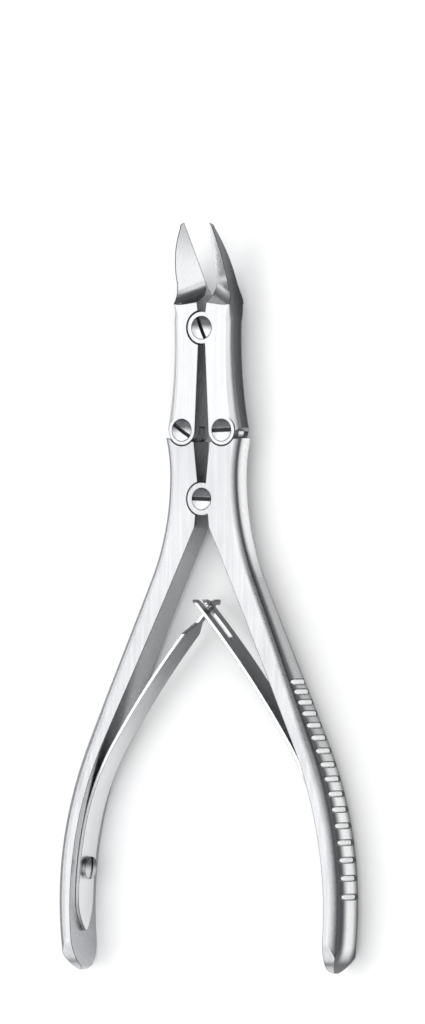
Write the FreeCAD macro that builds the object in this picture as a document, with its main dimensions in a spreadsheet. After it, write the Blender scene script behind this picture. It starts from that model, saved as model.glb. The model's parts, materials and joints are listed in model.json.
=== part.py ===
import FreeCAD, Part
import math
import os
import Sketcher
from FreeCAD import Vector

# Double-action bone cutting forceps, lying on its side.
# X is across the handles, Y runs towards the blade tips, Z is up.
# The four pivots have their axes along Z, and every piece is shown with the jaws open.

os.makedirs("parts", exist_ok=True)
document = FreeCAD.newDocument("bone_cutting_forceps")

# Driving sizes, in millimetres and degrees.
sizes = {
    # Where the pivots stand above the rear one, and how far each jaw is open
    "front_pivot_rise": 43.45,
    "link_pivot_rise": 17.45,
    "link_pivot_spread": 11.6,
    "jaw_opening": 7.75,
    # Layers of the lap joints
    "ear_thickness": 2.2,
    "tongue_thickness": 2.8,
    "side_play": 0.05,
    # Round ears and tongues
    "front_ear_radius": 4.1,
    "link_ear_radius": 3.8,
    "rear_ear_radius": 4.2,
    "ear_play": 0.06,
    "front_ear_play": 0.16,
    # Pivot screws
    "front_head_radius": 2.9,
    "link_head_radius": 2.8,
    "rear_head_radius": 2.75,
    "head_seat_depth": 1.15,
    "head_dome": 0.35,
    "pin_radius": 1.6,
    "thread_radius": 1.35,
    "pin_play": 0.05,
    "front_pin_play": 0.14,
    "seat_play": 0.02,
    "slot_width": 0.85,
    "slot_depth": 0.75,
    "front_slot_angle": 111.0,
    "left_link_slot_angle": 145.0,
    "right_link_slot_angle": 2.0,
    "rear_slot_angle": 178.0,
    # Jaw seen from the front, jaws closed, from the front pivot
    "blade_reach": 26.8,
    "blade_nose_width": 1.15,
    "blade_nose_height": 1.05,
    "flank_half_width": 5.85,
    "flank_height": 12.0,
    "flank_radius": 38.0,
    "cheek_half_width": 8.5,
    "cheek_height": 2.3,
    "cheek_radius": 8.0,
    "cheek_rise": 0.4,
    "shank_bow_radius": 120.0,
    "shank_corner_reach": 5.05,
    "shank_corner_angle": 15.0,
    "shank_merge_angle": 2.0,
    "shank_inner_angle": 12.0,
    "shank_gap": 1.65,
    "shank_gap_drop": 4.6,
    "mating_relief": 0.5,
    "relief_height": 7.0,
    "blade_gap": 0.03,
    "shank_rounding": 2.7,
    "shoulder_rounding": 0.5,
    # Blade seen from the side
    "heel_height": 8.3,
    "blade_lean": 26.3,
    "edge_thickness": 0.6,
    "shoulder_height": 9.6,
    "facet_angle": 34.0,
    "facet_fillet": 3.0,
    "back_bevel": 40.0,
    "edge_land": 0.1,
    # Handle seen from the front, from the rear pivot
    "handle_reach": 120.0,
    "horn_drop": 1.95,
    "horn_slant": 1.0,
    "horn_gap": 2.3,
    "neck_gap": 1.2,
    "neck_height": 4.0,
    "waist_half_width": 10.0,
    "waist_height": 5.5,
    "upper_waist_radius": 44.0,
    "lower_waist_radius": 64.7,
    "outer_flare": 23.1,
    "outer_straight": 44.4,
    "outer_bow_radius": 106.6,
    "crotch_gap": 2.1,
    "crotch_drop": 7.2,
    "inner_flare": 25.1,
    "inner_straight": 60.1,
    "inner_bow_radius": 100.0,
    "nose_length": 8.0,
    "nose_height": 1.2,
    "nose_inset": 1.3,
    # Handle seen from the side
    "grip_breadth": 13.0,
    "swell_start": 5.0,
    "swell_length": 89.0,
    "grip_corner": 9.0,
    "corner_drop": 0.4,
    "neck_rounding": 2.0,
    "grip_rounding": 3.0,
    # Finger grooves
    "groove_count": 16,
    "groove_width": 1.5,
    "groove_depth": 0.5,
    "first_groove_drop": 46.3,
    "groove_pitch": 2.5,
    "groove_pitch_growth": 0.16,
    # Leaf springs and their screws
    "leaf_thickness": 0.9,
    "leaf_width": 7.6,
    "leaf_play": 0.06,
    "leaf_end_drop": 110.0,
    "lancet_length": 9.0,
    "leaf_point_width": 0.9,
    "leaf_lift_angle": 12.0,
    "leaf_bend_radius": 64.0,
    "leaf_bend_end": 32.0,
    "leaf_tip_angle": 42.0,
    "fork_slot": 2.6,
    "fork_depth": 9.0,
    "fork_overlap": 4.0,
    "tongue_width": 2.0,
    "tongue_length": 8.0,
    "tongue_overlap": 3.6,
    "hook_width": 5.4,
    "hook_length": 1.9,
    "leaf_end_roundness": 0.52,
    "spring_screw_drop": 93.9,
    "spring_head_radius": 2.9,
    "spring_head_height": 1.3,
    "spring_pin_radius": 1.1,
    "spring_pin_depth": 3.0,
    "spring_pin_play": 0.05,
}

sheet = document.addObject("Spreadsheet::Sheet", "Sizes")
for row, (alias, number) in enumerate(sizes.items(), start=1):
    sheet.set(f"A{row}", alias)
    sheet.set(f"B{row}", str(number))
    sheet.setAlias(f"B{row}", alias)

# Places that follow from the driving sizes. The right-hand half is laid out, and the left mirrors it.
layout = {
    "joint_half": "ear_thickness + side_play + tongue_thickness / 2",
    "tongue_half": "tongue_thickness / 2",
    "slot_half": "tongue_half + side_play",
    "grip_half": "grip_breadth / 2",
    "link_half": "link_pivot_spread / 2",
    "link_drop": "front_pivot_rise - link_pivot_rise",
    # Link pivot in the closed jaw, from the front pivot
    "jaw_link_x": "link_half * cos(jaw_opening) + link_drop * sin(jaw_opening)",
    "jaw_link_y": "link_half * sin(jaw_opening) - link_drop * cos(jaw_opening)",
    "tip_height": "front_pivot_rise + blade_reach * cos(jaw_opening)",
    "rear_pivot_y": "(handle_reach - tip_height) / 2",
    "link_pivot_y": "rear_pivot_y + link_pivot_rise",
    "front_pivot_y": "rear_pivot_y + front_pivot_rise",
    # Jaw outline
    "tip_x": "blade_gap",
    "tip_y": "blade_reach",
    "blade_nose_radius": "(blade_nose_width ^ 2 + blade_nose_height ^ 2) / (2 * blade_nose_height)",
    "nose_x": "blade_gap + blade_nose_width",
    "nose_y": "blade_reach - blade_nose_height",
    "flank_x": "flank_half_width",
    "flank_y": "flank_height",
    "lean_slope": "tan(blade_lean)",
    "shoulder_z": "edge_thickness - joint_half + (shoulder_height - heel_height) * lean_slope",
    "shoulder_top_y": "shoulder_height - (joint_half - shoulder_z) * lean_slope",
    "split_y": "shoulder_top_y + cheek_rise",
    "cheek_x": "cheek_half_width",
    "cheek_y": "cheek_height",
    "shank_corner_x": "jaw_link_x + shank_corner_reach * cos(shank_corner_angle)",
    "shank_corner_y": "jaw_link_y + shank_corner_reach * sin(shank_corner_angle)",
    "shank_bow_width": "shank_corner_x - cheek_x",
    "shank_bow_height": "cheek_y - shank_corner_y",
    "shank_bow_chord": "sqrt(shank_bow_width ^ 2 + shank_bow_height ^ 2)",
    "shank_bow_turn": "asin(shank_bow_chord / (2 * shank_bow_radius))",
    "cheek_lean": "atan(shank_bow_width / shank_bow_height) - shank_bow_turn",
    "cheek_centre_x": "cheek_x - cheek_radius * cos(cheek_lean)",
    "cheek_centre_y": "cheek_y - cheek_radius * sin(cheek_lean)",
    "flank_width": "flank_x - cheek_centre_x",
    "flank_rise": "flank_y - cheek_centre_y",
    "flank_span": "sqrt(flank_width ^ 2 + flank_rise ^ 2)",
    "brow_lean": "atan(flank_rise / flank_width) - acos(cheek_radius / flank_span)",
    "brow_x": "cheek_centre_x + cheek_radius * cos(brow_lean)",
    "brow_y": "cheek_centre_y + cheek_radius * sin(brow_lean)",
    "shank_outer_x": "jaw_link_x + link_ear_radius * cos(shank_merge_angle)",
    "shank_outer_y": "jaw_link_y + link_ear_radius * sin(shank_merge_angle)",
    "shank_inner_x": "jaw_link_x - link_ear_radius * cos(shank_inner_angle)",
    "shank_inner_y": "jaw_link_y - link_ear_radius * sin(shank_inner_angle)",
    "shank_top_x": "shank_gap",
    "shank_top_y": "-shank_gap_drop",
    "relief_x": "mating_relief",
    "relief_y": "relief_height",
    "mating_x": "blade_gap",
    "mating_y": "heel_height",
    "pivot_side_x": "mating_relief",
    "pivot_side_y": "0",
    # Jaw profile, Y towards the tip and Z up
    "profile_top": "joint_half + blade_reach / 4",
    "profile_reach": "blade_reach + 1",
    "tail_y": "jaw_link_y - 2 * link_ear_radius",
    "tail_z": "-joint_half",
    "heel_y": "heel_height",
    "heel_z": "-joint_half",
    "split_front_y": "split_y",
    "split_front_z": "joint_half",
    "split_back_y": "split_y",
    "split_back_z": "-joint_half",
    "step_top_y": "split_y",
    "step_top_z": "profile_top",
    "tip_back_y": "profile_reach",
    "tip_back_z": "(profile_reach - heel_height) * lean_slope - joint_half",
    "tip_front_y": "profile_reach",
    "tip_front_z": "profile_top",
    # Cutter that hollows the blade's facet, Y along the cutting edge from the shoulder
    "facet_top_y": "0",
    "facet_top_z": "blade_reach",
    "facet_wall_y": "0",
    "facet_wall_z": "facet_fillet",
    "facet_floor_y": "facet_fillet",
    "facet_floor_z": "0",
    "facet_far_y": "blade_reach + facet_fillet",
    "facet_far_z": "0",
    "facet_lid_y": "blade_reach + facet_fillet",
    "facet_lid_z": "blade_reach",
    # Handle outline
    "horn_y": "link_pivot_rise - horn_drop",
    "horn_rise": "horn_y - waist_height",
    "horn_x": "waist_half_width + upper_waist_radius - sqrt(upper_waist_radius ^ 2 - horn_rise ^ 2)",
    "waist_x": "waist_half_width",
    "waist_y": "waist_height",
    "flare_top_x": "waist_half_width + lower_waist_radius * (1 - cos(outer_flare))",
    "flare_top_y": "waist_height - lower_waist_radius * sin(outer_flare)",
    "flare_end_x": "flare_top_x + outer_straight * sin(outer_flare)",
    "flare_end_y": "flare_top_y - outer_straight * cos(outer_flare)",
    "outer_bow_x": "flare_end_x - outer_bow_radius * cos(outer_flare)",
    "outer_bow_y": "flare_end_y - outer_bow_radius * sin(outer_flare)",
    "far_y": "-1.1 * handle_reach",
    "outer_far_y": "far_y",
    "outer_far_x": "outer_bow_x + sqrt(outer_bow_radius ^ 2 - (far_y - outer_bow_y) ^ 2)",
    "crotch_x": "crotch_gap",
    "crotch_y": "-crotch_drop",
    "bow_top_x": "crotch_gap + inner_straight * sin(inner_flare)",
    "bow_top_y": "-crotch_drop - inner_straight * cos(inner_flare)",
    "inner_bow_x": "bow_top_x - inner_bow_radius * cos(inner_flare)",
    "inner_bow_y": "bow_top_y - inner_bow_radius * sin(inner_flare)",
    "inner_far_y": "far_y",
    "inner_far_x": "inner_bow_x + sqrt(inner_bow_radius ^ 2 - (far_y - inner_bow_y) ^ 2)",
    "neck_low_x": "crotch_gap * rear_ear_radius / crotch_drop + neck_gap / 2",
    "neck_low_y": "-rear_ear_radius",
    "neck_high_x": "neck_gap",
    "neck_high_y": "neck_height",
    "horn_inner_x": "horn_gap",
    "horn_inner_y": "horn_y - horn_slant",
    # Handle profile
    "swell_half": "swell_length / 2",
    "swell_rise": "grip_half - joint_half",
    "swell_radius": "(swell_length ^ 2 + swell_rise ^ 2) / (4 * swell_rise)",
    "head_y": "link_pivot_rise + link_ear_radius",
    "head_z": "joint_half",
    "swell_top_y": "-swell_start",
    "swell_top_z": "joint_half",
    "swell_mid_y": "-swell_start - swell_half",
    "swell_mid_z": "(joint_half + grip_half) / 2",
    "swell_end_y": "-swell_start - swell_length",
    "swell_end_z": "grip_half",
    "straight_end_y": "far_y",
    "straight_end_z": "grip_half",
    # Cutter that rounds the handle's end as seen from the front
    "butt_outer_y": "nose_length - handle_reach",
    "butt_outer_x": "outer_bow_x + sqrt(outer_bow_radius ^ 2 - (butt_outer_y - outer_bow_y) ^ 2)",
    "butt_inner_y": "nose_height - handle_reach",
    "butt_inner_x": "inner_bow_x + sqrt(inner_bow_radius ^ 2 - (butt_inner_y - inner_bow_y) ^ 2)",
    "butt_tip_x": "butt_inner_x + nose_inset",
    "butt_tip_y": "-handle_reach",
    "butt_width": "butt_outer_x - butt_tip_x",
    "butt_chord": "sqrt(butt_width ^ 2 + nose_length ^ 2)",
    "butt_lean": "asin((outer_bow_y - butt_outer_y) / outer_bow_radius)",
    "butt_outer_radius": "butt_chord / (2 * sin(atan(butt_width / nose_length) - butt_lean))",
    "butt_inner_radius": "(nose_inset ^ 2 + nose_height ^ 2) / (2 * nose_height)",
    "butt_left_x": "butt_inner_x - grip_breadth",
    "butt_left_y": "butt_inner_y",
    "butt_low_left_x": "butt_left_x",
    "butt_low_left_y": "1.1 * far_y",
    "butt_right_x": "butt_outer_x + grip_breadth",
    "butt_right_y": "butt_outer_y",
    "butt_low_right_x": "butt_right_x",
    "butt_low_right_y": "1.1 * far_y",
    # Cutter that rounds its corners as seen from the side
    "corner_y": "grip_corner - handle_reach - corner_drop",
    "corner_z": "grip_half",
    "corner_radius": "(grip_corner ^ 2 + grip_half ^ 2) / (2 * grip_half)",
    "edge_y": "-handle_reach - corner_drop",
    "edge_z": "0",
    "corner_side_y": "corner_y",
    "corner_side_z": "grip_breadth",
    "corner_far_y": "1.1 * far_y",
    "corner_far_z": "grip_breadth",
    # Finger grooves
    "groove_radius": "(groove_width ^ 2 / 4 + groove_depth ^ 2) / (2 * groove_depth)",
    # Leaf spring seen from the front: it leaves the handle's inner face, bends and sweeps to the mid-plane
    "leaf_back_radius": "inner_bow_radius - leaf_play",
    "leaf_face_radius": "leaf_back_radius - leaf_thickness",
    "leaf_mid_radius": "leaf_back_radius - leaf_thickness / 2",
    "leaf_low_angle": "asin((-leaf_end_drop - leaf_width - inner_bow_y) / inner_bow_radius)",
    "lift_x": "inner_bow_x + leaf_mid_radius * cos(leaf_lift_angle)",
    "lift_y": "inner_bow_y + leaf_mid_radius * sin(leaf_lift_angle)",
    "bend_centre_x": "lift_x - leaf_bend_radius * cos(leaf_lift_angle)",
    "bend_centre_y": "lift_y - leaf_bend_radius * sin(leaf_lift_angle)",
    "bend_x": "bend_centre_x + leaf_bend_radius * cos(leaf_bend_end)",
    "bend_y": "bend_centre_y + leaf_bend_radius * sin(leaf_bend_end)",
    "sweep_radius": "bend_x / (cos(leaf_bend_end) - cos(leaf_tip_angle))",
    "sweep_centre_x": "-sweep_radius * cos(leaf_tip_angle)",
    "sweep_centre_y": "bend_y - sweep_radius * sin(leaf_bend_end)",
    "crossing_y": "sweep_centre_y + sweep_radius * sin(leaf_tip_angle)",
    "bend_back_radius": "leaf_bend_radius + leaf_thickness / 2",
    "bend_face_radius": "leaf_bend_radius - leaf_thickness / 2",
    "sweep_back_radius": "sweep_radius + leaf_thickness / 2",
    "sweep_face_radius": "sweep_radius - leaf_thickness / 2",
    "leaf_run_out": "2 * tongue_overlap",
    "low_back_x": "inner_bow_x + leaf_back_radius * cos(leaf_low_angle)",
    "low_back_y": "inner_bow_y + leaf_back_radius * sin(leaf_low_angle)",
    "lift_back_x": "inner_bow_x + leaf_back_radius * cos(leaf_lift_angle)",
    "lift_back_y": "inner_bow_y + leaf_back_radius * sin(leaf_lift_angle)",
    "bend_back_x": "bend_centre_x + bend_back_radius * cos(leaf_bend_end)",
    "bend_back_y": "bend_centre_y + bend_back_radius * sin(leaf_bend_end)",
    "sweep_back_x": "sweep_centre_x + sweep_back_radius * cos(leaf_tip_angle)",
    "sweep_back_y": "sweep_centre_y + sweep_back_radius * sin(leaf_tip_angle)",
    "out_back_x": "sweep_back_x - leaf_run_out * sin(leaf_tip_angle)",
    "out_back_y": "sweep_back_y + leaf_run_out * cos(leaf_tip_angle)",
    "low_face_x": "inner_bow_x + leaf_face_radius * cos(leaf_low_angle)",
    "low_face_y": "inner_bow_y + leaf_face_radius * sin(leaf_low_angle)",
    "lift_face_x": "inner_bow_x + leaf_face_radius * cos(leaf_lift_angle)",
    "lift_face_y": "inner_bow_y + leaf_face_radius * sin(leaf_lift_angle)",
    "bend_face_x": "bend_centre_x + bend_face_radius * cos(leaf_bend_end)",
    "bend_face_y": "bend_centre_y + bend_face_radius * sin(leaf_bend_end)",
    "sweep_face_x": "sweep_centre_x + sweep_face_radius * cos(leaf_tip_angle)",
    "sweep_face_y": "sweep_centre_y + sweep_face_radius * sin(leaf_tip_angle)",
    "out_face_x": "sweep_face_x - leaf_run_out * sin(leaf_tip_angle)",
    "out_face_y": "sweep_face_y + leaf_run_out * cos(leaf_tip_angle)",
    # Leaf springs seen along X: both have a lancet end below, the right one a fork and the left one a hook
    "leaf_half": "leaf_width / 2",
    "point_y": "-leaf_end_drop",
    "point_z": "leaf_point_width / 2",
    "lancet_y": "-leaf_end_drop + lancet_length",
    "lancet_z": "leaf_half",
    "lancet_radius": "(lancet_length ^ 2 + (leaf_half - point_z) ^ 2) / (2 * (leaf_half - point_z))",
    "prong_width": "(leaf_width - fork_slot) / 2",
    "prong_radius": "leaf_end_roundness * prong_width",
    "prong_side_y": "crossing_y + fork_overlap * cos(leaf_tip_angle) - prong_width / 2",
    "prong_side_z": "leaf_half",
    "prong_inside_y": "prong_side_y",
    "prong_inside_z": "fork_slot / 2",
    "slot_foot_y": "crossing_y - fork_depth * cos(leaf_tip_angle)",
    "slot_foot_z": "fork_slot / 2",
    "slot_foot_radius": "leaf_end_roundness * fork_slot",
    "stem_root_y": "crossing_y - (tongue_length - tongue_overlap) * cos(leaf_tip_angle)",
    "stem_shoulder_y": "stem_root_y - (leaf_half - tongue_width / 2)",
    "stem_shoulder_z": "leaf_half",
    "stem_root_z": "tongue_width / 2",
    "hook_end_y": "crossing_y + tongue_overlap * cos(leaf_tip_angle)",
    "hook_root_y": "hook_end_y - hook_length * cos(leaf_tip_angle)",
    "hook_root_z": "tongue_width / 2",
    "hook_heel_y": "hook_root_y",
    "hook_heel_z": "hook_width / 2",
    "hook_rise": "hook_end_y - hook_root_y",
    "hook_end_radius": "(hook_heel_z ^ 2 + hook_rise ^ 2) / (2 * hook_rise)",
    # Spring screw, square to the handle's inner face
    "spring_screw_angle": "asin((-spring_screw_drop - inner_bow_y) / inner_bow_radius)",
    "spring_dome_radius": "(spring_head_radius ^ 2 + head_dome ^ 2) / (2 * head_dome)",
    "spring_head_lift": "leaf_face_radius - sqrt(leaf_face_radius ^ 2 - spring_head_radius ^ 2) + seat_play",
    "spring_seat_x": "inner_bow_x + leaf_face_radius * cos(spring_screw_angle)",
    "spring_seat_y": "inner_bow_y + leaf_face_radius * sin(spring_screw_angle)",
}

offset = len(sizes)
for row, (alias, rule) in enumerate(layout.items(), start=offset + 2):
    sheet.set(f"A{row}", alias)
    sheet.set(f"B{row}", "=" + rule)
    sheet.setAlias(f"B{row}", alias)
document.recompute()


def size(alias):
    return float(sheet.get(alias))


# Expressions for a place, and for turns about Y and Z.
placed = "create(<<placement>>; create(<<vector>>; %s; %s; %s); %s)"
turned = "create(<<rotation>>; create(<<vector>>; 0; 1; 0); %s)"
spin = "create(<<rotation>>; create(<<vector>>; 0; 0; 1); %s)"


def bound(item, rules):
    for place, rule in rules.items():
        item.setExpression(place, rule.replace("@", "Sizes."))
    return item


# Sketches: a closed run of named corners, joined by lines and by arcs of a named radius.
# A turn of 1 bends the run to its left and -1 to its right. A minus sign before a name
# takes the corner across the sketch's horizontal axis.
def arc_between(start, end, radius, turn):
    chord = end - start
    middle = (start + end) / 2
    reach = math.sqrt(max(radius**2 - (chord.Length / 2) ** 2, 0))
    sideways = Vector(-chord.y, chord.x, 0).normalize()
    centre = middle + sideways * reach * turn
    bulge = centre - sideways * radius * turn
    return Part.Arc(start, bulge, end)


def corner_rules(name, axes):
    bare = name.lstrip("-")
    sign = "-" if name.startswith("-") else ""
    return f"Sizes.{bare}_{axes[0]}", f"{sign}Sizes.{bare}_{axes[1]}"


def corner_point(name, axes):
    bare = name.lstrip("-")
    sign = -1 if name.startswith("-") else 1
    return Vector(size(f"{bare}_{axes[0]}"), sign * size(f"{bare}_{axes[1]}"), 0)


def outline(body, plane_role, corners, axes="xy"):
    plane = next(item for item in body.Origin.OriginFeatures if item.Role == plane_role)
    sketch = body.newObject("Sketcher::SketchObject", body.Name + "_outline")
    sketch.AttachmentSupport = [(plane, "")]
    sketch.MapMode = "FlatFace"
    points = [corner_point(name, axes) for name, _, _ in corners]
    starts = []
    for place, (name, radius, turn) in enumerate(corners):
        start = points[place]
        end = points[(place + 1) % len(points)]
        if radius:
            edge = sketch.addGeometry(arc_between(start, end, size(radius), turn))
            begins = 1 if (sketch.getPoint(edge, 1) - start).Length < 1e-6 else 2
        else:
            edge = sketch.addGeometry(Part.LineSegment(start, end))
            begins = 1
        starts.append((edge, begins))
    for place, (edge, begins) in enumerate(starts):
        next_edge, next_begins = starts[(place + 1) % len(starts)]
        ends = 3 - begins
        sketch.addConstraint(Sketcher.Constraint("Coincident", edge, ends, next_edge, next_begins))
    for place, (name, radius, turn) in enumerate(corners):
        edge, begins = starts[place]
        across, along = corner_rules(name, axes)
        point = points[place]
        for kind, rule, number in (("DistanceX", across, point.x), ("DistanceY", along, point.y)):
            index = sketch.addConstraint(Sketcher.Constraint(kind, -1, 1, edge, begins, number))
            sketch.setExpression(f"Constraints[{index}]", rule)
        if radius:
            index = sketch.addConstraint(Sketcher.Constraint("Radius", edge, size(radius)))
            sketch.setExpression(f"Constraints[{index}]", f"Sizes.{radius}")
    return sketch


def padded(name, plane_role, corners, length, axes="xy"):
    body = document.addObject("PartDesign::Body", name)
    sketch = outline(body, plane_role, corners, axes)
    pad = body.newObject("PartDesign::Pad", name + "_pad")
    pad.Profile = sketch
    pad.Midplane = True
    bound(pad, {"Length": length})
    return body


def cylinder(name, radius, bottom, top, x="0", y="0"):
    item = document.addObject("Part::Cylinder", name)
    return bound(item, {
        "Radius": radius,
        "Height": f"({top}) - ({bottom})",
        "Placement.Base.x": x,
        "Placement.Base.y": y,
        "Placement.Base.z": bottom,
    })


def joined(name, pieces):
    item = document.addObject("Part::MultiFuse", name)
    item.Shapes = pieces
    item.Refine = False
    return item


def carved(name, base, tools):
    for number, tool in enumerate(tools, start=1):
        label = name if number == len(tools) else f"{name}_cut_{number}"
        item = document.addObject("Part::Cut", label)
        item.Base = base
        item.Tool = tool
        item.Refine = False
        base = item
    return item


def shared(name, base, tool):
    item = document.addObject("Part::Common", name)
    item.Base = base
    item.Tool = tool
    item.Refine = False
    return item


def mirrored(name, source):
    item = document.addObject("Part::Mirroring", name)
    item.Source = source
    item.Normal = Vector(1, 0, 0)
    return item


# Rounds the given edges, where a pick takes an edge's two ends and gives its two radii or None.
def rounded(name, base, pick):
    document.recompute()
    chosen = []
    for index, edge in enumerate(base.Shape.Edges, start=1):
        ends = [edge.valueAt(edge.FirstParameter), edge.valueAt(edge.LastParameter)]
        radii = pick(edge, ends)
        if radii:
            chosen.append((index, radii[0], radii[1]))
    item = document.addObject("Part::Fillet", name)
    item.Base = base
    item.Edges = chosen
    return item


# Jaw blank, closed, with the front pivot at the origin. The shank is a flat slab with rounded
# outer edges, and the blade leans forward from its heel.
jaw_front = padded("jaw_front", "XY_Plane", [
    ("tip", "blade_nose_radius", -1),
    ("nose", "flank_radius", -1),
    ("flank", None, 0),
    ("brow", "cheek_radius", -1),
    ("cheek", "shank_bow_radius", 1),
    ("shank_corner", None, 0),
    ("shank_outer", None, 0),
    ("shank_inner", None, 0),
    ("shank_top", None, 0),
    ("pivot_side", None, 0),
    ("relief", None, 0),
    ("mating", None, 0),
], "4 * @profile_top")
shank_slab = padded("shank_slab", "YZ_Plane", [
    ("tail", None, 0),
    ("split_back", None, 0),
    ("split_front", None, 0),
    ("-tail", None, 0),
], "4 * @shank_outer_x", "yz")
blade_slab = padded("blade_slab", "YZ_Plane", [
    ("split_back", None, 0),
    ("heel", None, 0),
    ("tip_back", None, 0),
    ("tip_front", None, 0),
    ("step_top", None, 0),
], "4 * @shank_outer_x", "yz")

# The facet falls from the outer wall to the cutting edge, square to the leaning shoulder.
leaning = "create(<<rotation>>; create(<<vector>>; 1; 0; 0); @blade_lean)"
facet_cutter = padded("facet_cutter", "YZ_Plane", [
    ("facet_top", None, 0),
    ("facet_wall", "facet_fillet", 1),
    ("facet_floor", None, 0),
    ("facet_far", None, 0),
    ("facet_lid", None, 0),
], "4 * @shank_outer_x", "yz")
to_facet = leaning + " * " + turned % "-@facet_angle"
bound(facet_cutter, {"Placement": placed % ("@blade_gap", "@shoulder_height", "@shoulder_z", to_facet)})

# The bevel leaves a narrow land on the back of the cutting edge.
bevel_cutter = document.addObject("Part::Box", "bevel_cutter")
to_bevel = leaning + " * " + turned % "@back_bevel + 90"
bound(bevel_cutter, {
    "Length": "2 * @cheek_half_width",
    "Width": "2 * @blade_reach",
    "Height": "@cheek_half_width",
    "Placement": placed % ("@blade_gap", "@shoulder_height", "@shoulder_z - @edge_land", to_bevel),
})


# The rounding of the shank fades towards the blade's shoulder.
def shank_rounding(height):
    share = (size("split_y") - height) / (size("split_y") - size("cheek_y"))
    share = min(max(share, 0), 1)
    return size("shoulder_rounding") + share * (size("shank_rounding") - size("shoulder_rounding"))


def on_shank(edge, ends):
    top = size("joint_half")
    flat = all(abs(abs(end.z) - top) < 1e-6 for end in ends)
    outside = all(end.x > size("mating_relief") + size("link_ear_radius") for end in ends)
    above = all(end.y > size("shank_corner_y") - 1e-6 for end in ends)
    lengthways = abs(ends[0].y - ends[1].y) > abs(ends[0].x - ends[1].x)
    if flat and outside and above and lengthways:
        return shank_rounding(ends[0].y), shank_rounding(ends[1].y)


jaw_shank = rounded("jaw_shank", shared("shank_block", jaw_front, shank_slab), on_shank)
jaw_blade = shared("jaw_blade", jaw_front, blade_slab)
jaw_block = joined("jaw_block", [jaw_shank, jaw_blade])
jaw_blank = carved("jaw_blank", jaw_block, [facet_cutter, bevel_cutter])


# Handle blank, open, with the rear pivot at the origin.
handle_front = padded("handle_front", "XY_Plane", [
    ("horn", "upper_waist_radius", 1),
    ("waist", "lower_waist_radius", 1),
    ("flare_top", None, 0),
    ("flare_end", "outer_bow_radius", -1),
    ("outer_far", None, 0),
    ("inner_far", "inner_bow_radius", 1),
    ("bow_top", None, 0),
    ("crotch", None, 0),
    ("neck_low", None, 0),
    ("neck_high", None, 0),
    ("horn_inner", None, 0),
], "2 * @grip_breadth")
handle_side = padded("handle_side", "YZ_Plane", [
    ("head", None, 0),
    ("swell_top", "swell_radius", -1),
    ("swell_mid", "swell_radius", 1),
    ("swell_end", None, 0),
    ("straight_end", None, 0),
    ("-straight_end", None, 0),
    ("-swell_end", "swell_radius", 1),
    ("-swell_mid", "swell_radius", -1),
    ("-swell_top", None, 0),
    ("-head", None, 0),
], "4 * @handle_reach", "yz")
handle_block = shared("handle_block", handle_front, handle_side)


# A point on the handle's outer side at a height from the rear pivot, and the side's slope there.
def outer_side(height):
    if height > size("flare_top_y"):
        above = height > size("waist_height")
        radius = size("upper_waist_radius" if above else "lower_waist_radius")
        rise = height - size("waist_height")
        return size("waist_half_width") + radius - math.sqrt(radius**2 - rise**2), math.asin(-rise / radius)
    if height > size("flare_end_y"):
        flare = math.radians(size("outer_flare"))
        return size("flare_top_x") + (size("flare_top_y") - height) * math.tan(flare), flare
    radius = size("outer_bow_radius")
    rise = height - size("outer_bow_y")
    return size("outer_bow_x") + math.sqrt(radius**2 - rise**2), math.asin(rise / radius)


def handle_rounding(height):
    share = (-height - size("swell_start")) / size("swell_length")
    share = min(max(share, 0), 1)
    return size("neck_rounding") + share * (size("grip_rounding") - size("neck_rounding"))


def on_outer_side(edge, ends):
    outside = all(abs(end.x - outer_side(end.y)[0]) < 1e-4 for end in ends)
    if outside and abs(ends[0].y - ends[1].y) > 1e-3:
        return handle_rounding(ends[0].y), handle_rounding(ends[1].y)


handle_bar = rounded("handle_bar", handle_block, on_outer_side)

butt_cutter = padded("butt_cutter", "XY_Plane", [
    ("butt_outer", "butt_outer_radius", -1),
    ("butt_tip", "butt_inner_radius", -1),
    ("butt_inner", None, 0),
    ("butt_left", None, 0),
    ("butt_low_left", None, 0),
    ("butt_low_right", None, 0),
    ("butt_right", None, 0),
], "2 * @grip_breadth")
corner_cutter = padded("corner_cutter", "YZ_Plane", [
    ("corner", "corner_radius", 1),
    ("edge", "corner_radius", 1),
    ("-corner", None, 0),
    ("-corner_side", None, 0),
    ("-corner_far", None, 0),
    ("corner_far", None, 0),
    ("corner_side", None, 0),
], "4 * @handle_reach", "yz")


# Shallow grooves cross the outer side, closer together towards the joint.
def groove_cutters():
    cutters = []
    height = -size("first_groove_drop")
    for number in range(int(size("groove_count"))):
        across, slope = outer_side(height)
        lift = size("groove_radius") - size("groove_depth")
        groove = document.addObject("Part::Cylinder", f"groove_{number + 1}")
        bound(groove, {"Radius": "@groove_radius", "Height": "2 * @grip_breadth"})
        groove.Placement.Base = Vector(
            across + lift * math.cos(slope),
            height + lift * math.sin(slope),
            -size("grip_breadth"),
        )
        cutters.append(groove)
        height -= size("groove_pitch") + number * size("groove_pitch_growth")
    return cutters


finger_grooves = joined("finger_grooves", groove_cutters())
handle_blank = carved("handle_blank", handle_bar, [butt_cutter, corner_cutter, finger_grooves])


# Lap joints. An ear or tongue is a round disc about its pivot, and the other piece is cut back round it.
def disc_pair(name, radius, inner, outer, x="0", y="0"):
    front = cylinder(name + "_front", radius, inner, outer, x, y)
    back = cylinder(name + "_back", radius, f"-({outer})", f"-({inner})", x, y)
    return [front, back]


def pin_bore(name, radius, x="0", y="0"):
    return cylinder(name, radius, "-2 * @joint_half", "2 * @joint_half", x, y)


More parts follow.
